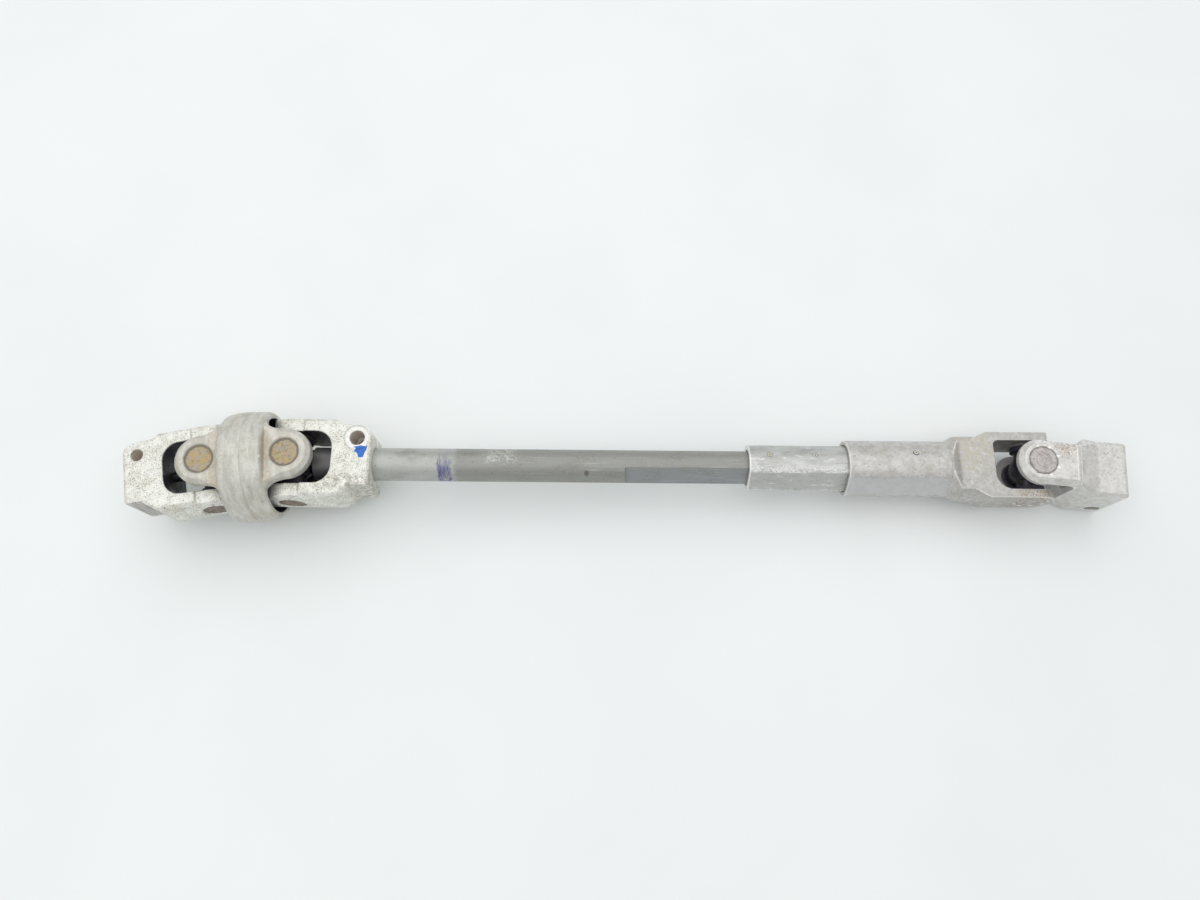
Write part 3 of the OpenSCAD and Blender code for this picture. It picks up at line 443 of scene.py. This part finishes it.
# blasted forging with rust freckles where the finish has gone
def forgedMaterial(name, turn, forging):
    look, throat = forgedLook, forging["throat"]
    mat, tree, shader = newMaterial(name, look["metallic"], look["roughness"])
    space = pieceSpace(tree, lowerAt, turn)
    axes = splitSpace(tree, space)
    grain = noises(tree, space, look["grains"])
    blots, patches = grain["blots"], grain["patches"]
    colour = mixTone(tree, remap(tree, blots, *look["dullMask"]), *forging["tones"])
    colour = mixTone(tree, remap(tree, patches, *look["patchMask"]), colour, look["dirtAndShade"])
    if forging["socket"]:  # the fork is duller than its socket
        fork = product(tree, remap(tree, axes[0], *look["forkFrom"]),
                       remap(tree, noise(tree, space, *look["forkGrain"]), *look["forkMask"]))
        colour = mixTone(tree, fork, colour, look["fork"])
    scrapes = streaks(tree, lowerAt, look["streaks"])["scrapes"]
    scraped = product(tree, remap(tree, scrapes, *look["scrapeMask"]),
                      remap(tree, patches, *look["scrapeShare"]))
    colour = mixTone(tree, scraped, colour, look["dirtAndShade"])
    tan = product(tree, remap(tree, fromAxis(tree, axes, *look["tanAt"]), *look["tanReach"]),
                  remap(tree, blots, *look["tanMask"]))
    colour = mixTone(tree, tan, colour, look["tan"])
    # the forging's corners darkened by ambient occlusion: painted shade
    colour = mixTone(tree, cornerShadeAndDirt(tree, look["cornerReach"], look["cornerMask"]), colour, look["dirtAndShade"])
    rust = product(tree, remap(tree, grain["freckle"], *look["rustMask"]),
                   remap(tree, fromAxis(tree, axes, *forging["rustAt"]), *forging["rustReach"]))
    colour = mixTone(tree, rust, colour, look["rust"])
    colour = mixTone(tree, remap(tree, grain["specks"], *look["speckMask"]), colour, look["speck"])
    # bright edges: wear, and painted highlight
    colour = mixTone(tree, wornEdgesAndHighlights(tree, look["edgeMask"]), colour, look["bright"])
    if forging["socket"]:  # flats of the double-D socket, painted darker as painted shade
        flats = product(tree, flatMask(tree, look["socketHalf"], look["socketRadius"]),
                        remap(tree, axes[0], *look["flatTo"]))
        colour = mixTone(tree, flats, colour, look["flat"])
    crossways = axes[3 - throat["axis"]]
    across = maths(tree, "ABSOLUTE", axes[throat["axis"]])
    inside = product(tree, remap(tree, across, *throat["across"]),
                     remap(tree, maths(tree, "MULTIPLY", axes[0], throat["flip"]), *throat["along"]),
                     remap(tree, maths(tree, "ABSOLUTE", crossways), *throat["tall"]))
    # the throat's walls take the forging's throat tones: painted shade in the tube yoke, painted light in the
    # gear yoke
    smears = remap(tree, grain["smears"], *look["smearMask"])
    colour = mixTone(tree, inside, colour, mixTone(tree, smears, *throat["tones"]))
    # bright dents and a dark joint line round each staked cup
    face = (axes[0], crossways)
    outer = remap(tree, across, *throat["outer"])
    joint = remap(tree, apart(tree, fromAxis(tree, face), look["cupRadius"]), *look["jointMask"])
    colour = mixTone(tree, product(tree, outer, joint), colour, look["speck"])
    for step in range(look["stakes"]):
        angle = math.tau * (step + 0.5) / look["stakes"]
        dent = fromAxis(tree, face, look["stakeAt"] * math.cos(angle), look["stakeAt"] * math.sin(angle))
        dented = product(tree, outer, remap(tree, dent, *look["stakeMask"]))
        colour = mixTone(tree, dented, colour, look["bright"])
    for place in forging["lines"]:
        line = product(tree, remap(tree, apart(tree, axes[0], place), *look["lineMask"]),
                       remap(tree, axes[2], *look["lineTop"]), remap(tree, blots, *look["lineShare"]))
        colour = mixTone(tree, line, colour, look["bright"])
    rough = varied(tree, look["roughness"], patches, look["patchRough"])
    finishShader(tree, shader, colour, rough, grain, look["bumps"])
    return mat


# places along the shaft are measured from the middle joint
shaftLook = {
    "metallic": 0.35, "roughness": 0.34, "mottleRough": 0.25,
    "grains": {"spots": (700.0, 4.0, 0.7), "flecks": (1150.0, 3.0, 0.7)},
    "streaks": {"drawn": (0.0, (40, 1, 1), (1500.0, 3.0, 0.6)),
                "mottle": (0.0, (2.5, 1, 1), (130.0, 6.0, 0.65)),
                "hoops": (0.0, (1, 16, 16), (3000.0, 4.0, 0.65))},
    "unevenGrain": (260.0,), "uneven": 0.005,
    "light": tone(178, 180, 175), "coat": tone(148, 149, 143), "coatFrom": (0.0902, 0.0942),
    "flat": tone(145, 148, 150), "flatHalf": 0.0071, "radius": 0.009525,
    "dark": tone(134, 134, 126), "darkMask": (0.45, 0.72, 0.0, 0.6),
    "scratch": tone(206, 207, 202), "scuffAt": 0.118, "scuffReach": (0.005, 0.014, 0.7, 0.0),
    "scuffSide": (-0.004, 0.002), "scuffMask": (0.46, 0.58), "drawnMask": (0.60, 0.72, 0.0, 0.45),
    "fleckMask": (0.60, 0.67, 0.0, 0.55), "fleckShare": (0.45, 0.6),
    "speck": tone(98, 94, 86), "speckMask": (0.60, 0.70, 0.0, 0.7),
    "spotAt": (0.1680, -0.0061), "spotReach": (0.0008, 0.0019, 0.8, 0.0), "spotTop": (0.0, 0.002),
    "ink": tone(88, 86, 134), "inkFrom": (0.0820, 0.0830), "inkTo": (0.0902, 0.0912, 1.0, 0.0),
    "inkMask": (0.44, 0.58), "inkSide": (-0.005, 0.007, 1.0, 0.15),
    "blotAt": (0.0860, -0.0052), "blotReach": (0.001, 0.0050, 0.7, 0.0),
    "throatShade": tone(92, 90, 90), "throatShadeTo": (0.0230, 0.0235, 0.92, 0.0),
    "bumps": {"drawn": (0.12, 0.0002), "spots": (0.15, 0.0002)},
}


# drawn bar: lighter where it was cleaned, grey coat beyond, an ink band and long scratches
def shaftMaterial():
    look = shaftLook
    mat, tree, shader = newMaterial("drawnShaft", look["metallic"], look["roughness"])
    space = pieceSpace(tree, middleAt)
    axes = splitSpace(tree, space)
    grain = {**noises(tree, space, look["grains"]), **streaks(tree, middleAt, look["streaks"])}
    spots, mottle = grain["spots"], grain["mottle"]
    along = maths(tree, "ADD", axes[0], wander(tree, space, look["uneven"], look["unevenGrain"]))
    coat = remap(tree, along, *look["coatFrom"])
    colour = mixTone(tree, coat, look["light"], look["coat"])
    # the flats painted darker and bluer: painted shade
    colour = mixTone(tree, flatMask(tree, look["flatHalf"], look["radius"]), colour, look["flat"])
    colour = mixTone(tree, remap(tree, mottle, *look["darkMask"]), colour, look["dark"])
    # patch that was scuffed bright
    scuffed = product(tree, remap(tree, apart(tree, along, look["scuffAt"]), *look["scuffReach"]),
                      remap(tree, axes[1], *look["scuffSide"]), remap(tree, spots, *look["scuffMask"]))
    colour = mixTone(tree, scuffed, colour, look["scratch"])
    colour = mixTone(tree, remap(tree, grain["drawn"], *look["drawnMask"]), colour, look["scratch"])
    colour = mixTone(tree, remap(tree, spots, *look["speckMask"]), colour, look["speck"])
    flecked = product(tree, coat, remap(tree, grain["flecks"], *look["fleckMask"]),
                      remap(tree, mottle, *look["fleckShare"]))
    colour = mixTone(tree, flecked, colour, look["scratch"])
    spotted = product(tree, remap(tree, fromAxis(tree, axes, *look["spotAt"]), *look["spotReach"]),
                      remap(tree, axes[2], *look["spotTop"]))
    colour = mixTone(tree, spotted, colour, look["speck"])
    # ink band, with one dense blot on its near side
    hooped = product(tree, remap(tree, grain["hoops"], *look["inkMask"]),
                     remap(tree, axes[1], *look["inkSide"]))
    blot = remap(tree, fromAxis(tree, axes, *look["blotAt"]), *look["blotReach"])
    inked = product(tree, remap(tree, along, *look["inkFrom"]), remap(tree, along, *look["inkTo"]),
                    maths(tree, "MAXIMUM", hooped, blot))
    colour = mixTone(tree, inked, colour, look["ink"])
    # the shaft's end inside the yoke's throat painted dark: painted shade
    colour = mixTone(tree, remap(tree, axes[0], *look["throatShadeTo"]), colour, look["throatShade"])
    rough = varied(tree, look["roughness"], mottle, look["mottleRough"])
    finishShader(tree, shader, colour, rough, grain, look["bumps"])
    return mat


tubeLook = {
    "metallic": 0.5, "roughness": 0.30, "mottleRough": 0.25,
    "grains": {"spots": (800.0, 4.0, 0.7)},
    "streaks": {"drawn": (0.0, (30, 1, 1), (1300.0, 3.0, 0.6)),
                "mottle": (0.0, (3, 1, 1), (170.0, 6.0, 0.65)),
                "scrape": (24.0, (14, 1, 1), (900.0, 2.0, 0.5)),
                "blotches": (0.0, (3.5, 1, 1), (420.0, 4.0, 0.65))},
    "pale": tone(199, 200, 197), "dull": tone(176, 177, 173), "dullMask": (0.36, 0.66),
    "flat": tone(184, 185, 181), "flatHalf": 0.0111, "radius": 0.013025, "flatShare": 0.8,
    "bright": tone(238, 238, 235), "ridgeFrom": (0.0080, 0.0108, 0.0, 0.8), "ridgeMask": (0.44, 0.56),
    "scratch": tone(150, 147, 140), "speck": tone(122, 116, 104),
    "coats": (("blotches", (0.57, 0.66, 0.0, 0.45), "bright"),
              ("blotches", (0.34, 0.44, 0.4, 0.0), "scratch"),
              ("scrape", (0.66, 0.74, 0.0, 0.6), "scratch"), ("drawn", (0.58, 0.75, 0.0, 0.4), "bright"),
              ("spots", (0.62, 0.70, 0.0, 0.7), "speck")),
    "rimFull": 0.0005, "rimEnd": 0.0009, "rimShare": 0.85,
    "bumps": {"drawn": (0.12, 0.0002), "mottle": (0.12, 0.0005)},
}


# drawn tube: duller on its flats, a painted shade, with drawing lines, scrapes and small dark specks
def tubeMaterial():
    look = tubeLook
    mat, tree, shader = newMaterial("drawnTube", look["metallic"], look["roughness"])
    space = pieceSpace(tree, lowerAt)
    grain = {**noises(tree, space, look["grains"]), **streaks(tree, lowerAt, look["streaks"])}
    colour = mixTone(tree, remap(tree, grain["mottle"], *look["dullMask"]), look["pale"], look["dull"])
    flats = flatMask(tree, look["flatHalf"], look["radius"])
    # the flats painted darker: painted shade
    colour = mixTone(tree, product(tree, flats, look["flatShare"]), colour, look["flat"])
    # worn bright, with a painted highlight, where the round side meets the upper flat
    ridgeWearAndHighlight = product(tree, remap(tree, rolledAxes(tree)[2], *look["ridgeFrom"]),
                    maths(tree, "SUBTRACT", 1.0, flats), remap(tree, grain["spots"], *look["ridgeMask"]))
    colour = mixTone(tree, ridgeWearAndHighlight, colour, look["bright"])
    for key, mask, shade in look["coats"]:
        colour = mixTone(tree, remap(tree, grain[key], *mask), colour, look[shade])
    # a thin bright band round the tube's mouth: painted highlight on its rim
    mouth = min(v.co.x for v in nodes["slide_tube"].data.vertices) - lowerAt.x
    rim = remap(tree, splitSpace(tree, space)[0], mouth + look["rimFull"], mouth + look["rimEnd"],
                look["rimShare"], 0.0)
    colour = mixTone(tree, rim, colour, look["bright"])
    rough = varied(tree, look["roughness"], grain["mottle"], look["mottleRough"])
    finishShader(tree, shader, colour, rough, grain, look["bumps"])
    return mat


cupLooks = {
    "gold": {"base": tone(164, 158, 146), "stain": tone(181, 160, 116), "rim": tone(112, 107, 100),
             "pit": tone(100, 90, 72), "stainMask": (0.325, 0.62), "rimMask": (0.0064, 0.0072, 0.0, 0.85),
             "metallic": 0.1},
    "brown": {"base": tone(140, 126, 114), "stain": tone(118, 102, 86), "rim": tone(96, 88, 82),
              "pit": tone(78, 68, 58), "stainMask": (0.40, 0.62), "rimMask": (0.0066, 0.0074, 0.0, 0.85),
              "metallic": 0.15},
    "grey": {"base": tone(194, 189, 187), "stain": tone(176, 169, 163), "rim": tone(132, 127, 123),
             "pit": tone(136, 128, 118), "stainMask": (0.425, 0.62), "rimMask": (0.0068, 0.0076, 0.0, 0.85),
             "metallic": 0.2},
}
cupSkin = {
    "roughness": 0.45, "roughMask": (0.3, 0.7, 0.38, 0.65), "pitMask": (0.52, 0.66, 0.0, 0.7),
    "grains": {"blotch": (270.0, 6.0, 0.7), "fine": (900.0, 4.0, 0.7)},
    "unevenGrain": (420.0,), "uneven": 0.0022,
    "bumps": {"blotch": (0.5, 0.0006), "fine": (0.5, 0.0003)},
}


# drawn cups, stained in the middle and dark round the rim; their axes stand upright or lie along Y
def cupMaterial(name, look, centres, turn, upright):
    mat, tree, shader = newMaterial(name, look["metallic"], cupSkin["roughness"])
    reaches = []
    for centre in centres:
        axes = splitSpace(tree, pieceSpace(tree, centre, turn))
        reaches.append(fromAxis(tree, axes if upright else (axes[0], axes[2])))
    space = pieceSpace(tree)
    grain = noises(tree, space, cupSkin["grains"])
    uneven = wander(tree, space, cupSkin["uneven"], cupSkin["unevenGrain"])
    away = maths(tree, "ADD", nearest(tree, reaches), uneven)
    colour = mixTone(tree, remap(tree, grain["blotch"], *look["stainMask"]), look["base"], look["stain"])
    colour = mixTone(tree, remap(tree, away, *look["rimMask"]), colour, look["rim"])
    colour = mixTone(tree, remap(tree, grain["fine"], *cupSkin["pitMask"]), colour, look["pit"])
    rough = remap(tree, grain["blotch"], *cupSkin["roughMask"])
    finishShader(tree, shader, colour, rough, grain, cupSkin["bumps"])
    return mat


plainLooks = {
    "bearingSteel": {"tones": (tone(190, 192, 196), tone(168, 170, 172)), "metallic": 0.9, "roughness": 0.25,
                     "scale": 300.0, "depth": 0.0001},
    "blackCross": {"tones": (tone(46, 45, 54), tone(78, 76, 82)), "metallic": 0.45, "roughness": 0.42,
                   "scale": 140.0, "depth": 0.0004},
    "centringSteel": {"tones": (tone(86, 84, 84), tone(58, 57, 58)), "metallic": 0.7, "roughness": 0.4,
                      "scale": 180.0, "depth": 0.0003},
    "blackRubber": {"tones": (tone(40, 38, 52), tone(64, 60, 78)), "metallic": 0.0, "roughness": 0.5,
                    "scale": 200.0, "depth": 0.0004},
}
plainSkin = {
    "mottle": (5.0, 0.65), "mottleMask": (0.38, 0.66), "mottleBump": 0.2,
    "fine": (3.0, 0.6), "fineScale": 9, "fineMask": (0.3, 0.7), "fineBump": 0.25, "fineDepth": 0.4,
    "smoother": 0.08, "rougher": 0.12,
}


# one plain finish with a mottle, for pieces that are dark or mostly hidden
def mottledMaterial(name, look):
    skin, roughness = plainSkin, look["roughness"]
    mat, tree, shader = newMaterial(name, look["metallic"], roughness)
    grain = noises(tree, pieceSpace(tree), {"mottle": (look["scale"], *skin["mottle"]),
                                            "fine": (look["scale"] * skin["fineScale"], *skin["fine"])})
    colour = mixTone(tree, remap(tree, grain["mottle"], *skin["mottleMask"]), *look["tones"])
    rough = remap(tree, grain["fine"], *skin["fineMask"],
                  roughness - skin["smoother"], roughness + skin["rougher"])
    bumps = {"mottle": (skin["mottleBump"], look["depth"]),
             "fine": (skin["fineBump"], look["depth"] * skin["fineDepth"])}
    finishShader(tree, shader, colour, rough, grain, bumps)
    return mat


gateLook = {
    "metallic": 0.0, "roughness": 0.5, "roughMask": (0.3, 0.7, 0.42, 0.58),
    "grains": {"mottle": (500.0, 4.0)},
    "plug": tone(204, 200, 188), "rim": tone(108, 100, 86), "dot": tone(74, 68, 58),
    "roll": -20.0, "places": (-0.1521, -0.1261, -0.0692),
    "rimMask": (0.0011, 0.0014), "dotMask": (0.0003, 0.0006, 0.9, 0.0), "mottleMask": (0.5, 0.7, 0.0, 0.3),
    "stubMask": (0.0003, 0.0007, 1.0, 0.0),
    "bumps": {"stub": (0.6, 0.0003), "mottle": (0.2, 0.0002)},
}


# moulded nylon: each plug in a tube's wall has a dark rim and the stub of its gate
def nylonMaterial():
    look = gateLook
    mat, tree, shader = newMaterial("mouldedNylon", look["metallic"], look["roughness"])
    axes = splitSpace(tree, pieceSpace(tree, lowerAt, roll=look["roll"]))
    away = nearest(tree, [fromAxis(tree, axes, place) for place in look["places"]])
    grain = noises(tree, pieceSpace(tree), look["grains"])
    colour = mixTone(tree, remap(tree, away, *look["rimMask"]), look["plug"], look["rim"])
    colour = mixTone(tree, remap(tree, away, *look["dotMask"]), colour, look["dot"])
    colour = mixTone(tree, remap(tree, grain["mottle"], *look["mottleMask"]), colour, look["rim"])
    rough = remap(tree, grain["mottle"], *look["roughMask"])
    grain["stub"] = remap(tree, away, *look["stubMask"])
    finishShader(tree, shader, colour, rough, grain, look["bumps"])
    return mat


clampEdgeAt = -0.0145  # edge of the shaft yoke's clamp
materials = {
    "columnCasting": castMaterial("columnCasting", upperAt, turns["column"], -1.0, milledFace=True),
    "shaftCasting": castMaterial("shaftCasting", middleAt, turns["shaft"], 1.0, spotFace=True, dabbed=True,
                                 grimeAt=clampEdgeAt),
    "ringCasting": ringMaterial(),
    "tubeForging": forgedMaterial("tubeForging", turns["tube"], tubeForging),
    "gearForging": forgedMaterial("gearForging", turns["gear"], gearForging),
    "drawnShaft": shaftMaterial(),
    "drawnTube": tubeMaterial(),
    "ringCup": cupMaterial("ringCup", cupLooks["gold"], (middleAt, upperAt), turns["ring"], True),
    "columnCup": cupMaterial("columnCup", cupLooks["brown"], (upperAt,), turns["column"], False),
    "shaftCup": cupMaterial("shaftCup", cupLooks["brown"], (middleAt,), turns["shaft"], False),
    "tubeCup": cupMaterial("tubeCup", cupLooks["grey"], (lowerAt,), turns["tube"], False),
    "gearCup": cupMaterial("gearCup", cupLooks["grey"], (lowerAt,), turns["gear"], True),
    **{name: mottledMaterial(name, look) for name, look in plainLooks.items()},
    "mouldedNylon": nylonMaterial(),
}
finishes = {
    "column_yoke": "columnCasting", "shaft_yoke": "shaftCasting", "coupling_ring": "ringCasting",
    "tube_yoke": "tubeForging", "gear_yoke": "gearForging",
    "steel_shaft": "drawnShaft", "slide_tube": "drawnTube",
    "column_yoke_cups": "columnCup", "ring_cups": "ringCup", "shaft_yoke_cups": "shaftCup",
    "tube_yoke_cups": "tubeCup", "gear_yoke_cups": "gearCup",
    "upper_cross": "blackCross", "middle_cross": "blackCross", "lower_cross": "blackCross",
    "centring_stud": "centringSteel", "centring_sleeve": "centringSteel", "centring_plug": "centringSteel",
    "upper_cross_seals": "blackRubber", "middle_cross_seals": "blackRubber",
    "lower_cross_seals": "blackRubber",
    "shaft_liner": "mouldedNylon", "socket_liner": "mouldedNylon",
}
for name, piece in nodes.items():
    finish = finishes.get(name, "bearingSteel")  # the needle rollers
    piece.data.materials.clear()
    piece.data.materials.append(materials[finish])
print("finishes set on", len(nodes), "nodes")

castShape = {"slot": "cast_aluminium", "rounds": 4, "wave": 0.00016}
forgedShape = {"slot": "forged_steel", "rounds": 2, "wave": 0.00008}
softened = {
    "columnYokeCasting": {"node": "column_yoke", "body": "column", "voxel": 0.00045, **castShape},
    "shaftYokeCasting": {"node": "shaft_yoke", "body": "shaft", "voxel": 0.00045, **castShape},
    "couplingRingCasting": {"node": "coupling_ring", "body": "ring", "voxel": 0.00050, **castShape},
    "tubeYokeForging": {"node": "tube_yoke", "body": "tube", "voxel": 0.00052, **forgedShape},
    "gearYokeForging": {"node": "gear_yoke", "body": "gear", "voxel": 0.00038, **forgedShape},
}
softening = {"merge": 0.000002, "relax": 0.5, "waveLength": 0.0035, "waveDepth": 2}
waveTexture = bpy.data.textures.new("castWaves", "CLOUDS")
waveTexture.noise_scale = softening["waveLength"]
waveTexture.noise_depth = softening["waveDepth"]


# a copy of the exact solid with its edges rounded off, as a mould or a die leaves them
def softenedCopy(name, look):
    source = nodes[look["node"]]
    piece = bpy.data.objects.new(name, source.data.copy())
    scene.collection.objects.link(piece)
    bpy.ops.object.select_all(action="DESELECT")
    piece.select_set(True)
    bpy.context.view_layer.objects.active = piece
    bpy.ops.object.mode_set(mode="EDIT")
    bpy.ops.mesh.select_all(action="SELECT")
    bpy.ops.mesh.remove_doubles(threshold=softening["merge"])
    bpy.ops.object.mode_set(mode="OBJECT")
    remesh = piece.modifiers.new("remesh", "REMESH")
    remesh.mode = "VOXEL"
    remesh.voxel_size = look["voxel"]
    remesh.use_smooth_shade = True
    bpy.ops.object.modifier_apply(modifier="remesh")
    relax = piece.modifiers.new("relax", "SMOOTH")
    relax.factor = softening["relax"]
    relax.iterations = look["rounds"]
    bpy.ops.object.modifier_apply(modifier="relax")
    swell = piece.modifiers.new("swell", "DISPLACE")
    swell.texture = waveTexture
    swell.texture_coords = "LOCAL"
    swell.strength = look["wave"]
    bpy.ops.object.modifier_apply(modifier="swell")
    piece.data.materials.clear()
    piece.data.materials.append(materials[finishes[look["node"]]])
    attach(piece, look["body"])
    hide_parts(look["node"])
    return piece


for name, look in softened.items():
    made = softenedCopy(name, look)
    print("softened", name, len(made.data.polygons), "faces")

floorLook = {
    "size": 8.0, "gap": 0.0001, "tones": (tone(239, 242, 241), tone(235, 239, 238)), "roughness": 0.9,
    "grain": (6.0, 3.0), "mask": (0.3, 0.7),
}
ringLow = min((v.co for v in nodes["coupling_ring"].data.vertices), key=lambda c: c.z)
gearPoints = [v.co for n in ("gear_yoke", "tube_yoke") for v in nodes[n].data.vertices]
# the part leans from the ring to the gear yoke
slope = min((c.z - ringLow.z) / (c.x - ringLow.x) for c in gearPoints)
bpy.ops.object.select_all(action="DESELECT")
floorAt = (ringLow.x, 0, ringLow.z - floorLook["gap"])
bpy.ops.mesh.primitive_plane_add(size=floorLook["size"], location=floorAt)
floor = bpy.context.active_object
floor.name = "floor"
floor.rotation_euler = (0, -math.atan(slope), 0)
floorMat, floorTree, floorShader = newMaterial("paleFloor", 0.0, floorLook["roughness"])
floorNoise = noise(floorTree, pieceSpace(floorTree), *floorLook["grain"])
floorColour = mixTone(floorTree, remap(floorTree, floorNoise, *floorLook["mask"]), *floorLook["tones"])
feed(floorTree, floorShader.inputs["Base Color"], floorColour)
floor.data.materials.append(floorMat)
print("floor slope", round(math.degrees(math.atan(slope)), 2))

cameraLook = {
    "at": (0.1726, -0.1423, 0.5043),  # from the middle joint's centre
    "right": (0.99994209, 0.00701414, 0.00816168), "down": (0.00907349, -0.9573013, -0.28894964),
    "ahead": (0.00578646, 0.28900696, -0.95730951), "lens": 27.0, "sensor": 36.0, "near": 0.01,
}
cameraData = bpy.data.cameras.new("photoCamera")
cameraData.lens = cameraLook["lens"]
cameraData.sensor_width = cameraLook["sensor"]
cameraData.clip_start = cameraLook["near"]
camera = bpy.data.objects.new("photoCamera", cameraData)
scene.collection.objects.link(camera)
right, down, ahead = (Vector(cameraLook[k]).normalized() for k in ("right", "down", "ahead"))
turnBack = Matrix((right, -down, -ahead)).transposed().to_4x4()
camera.matrix_world = Matrix.Translation(middleAt + Vector(cameraLook["at"])) @ turnBack
scene.camera = camera

lightLook = {
    "topPanel": {"at": (-0.38, 0.28, 1.3), "size": 2.4, "power": 18.0},
    "sidePanel": {"at": (-1.2, -0.7, 0.9), "size": 1.0, "power": 1.2},
}
litPoint = Vector((-0.3, 0, 0))
for name, look in lightLook.items():
    data = bpy.data.lights.new(name, "AREA")
    data.shape = "SQUARE"
    data.size = look["size"]
    data.energy = look["power"]
    lamp = bpy.data.objects.new(name, data)
    scene.collection.objects.link(lamp)
    lamp.location = look["at"]
    lamp.rotation_euler = (litPoint - Vector(look["at"])).to_track_quat("-Z", "Y").to_euler()
skyLook = {"colour": (0.98, 0.985, 1.0, 1.0), "strength": 0.54}
world = bpy.data.worlds.new("studio")
scene.world = world
world.use_nodes = True
backdrop = world.node_tree.nodes["Background"]
backdrop.inputs["Color"].default_value = skyLook["colour"]
backdrop.inputs["Strength"].default_value = skyLook["strength"]
scene.view_settings.view_transform = "Standard"
print("camera and lights set")
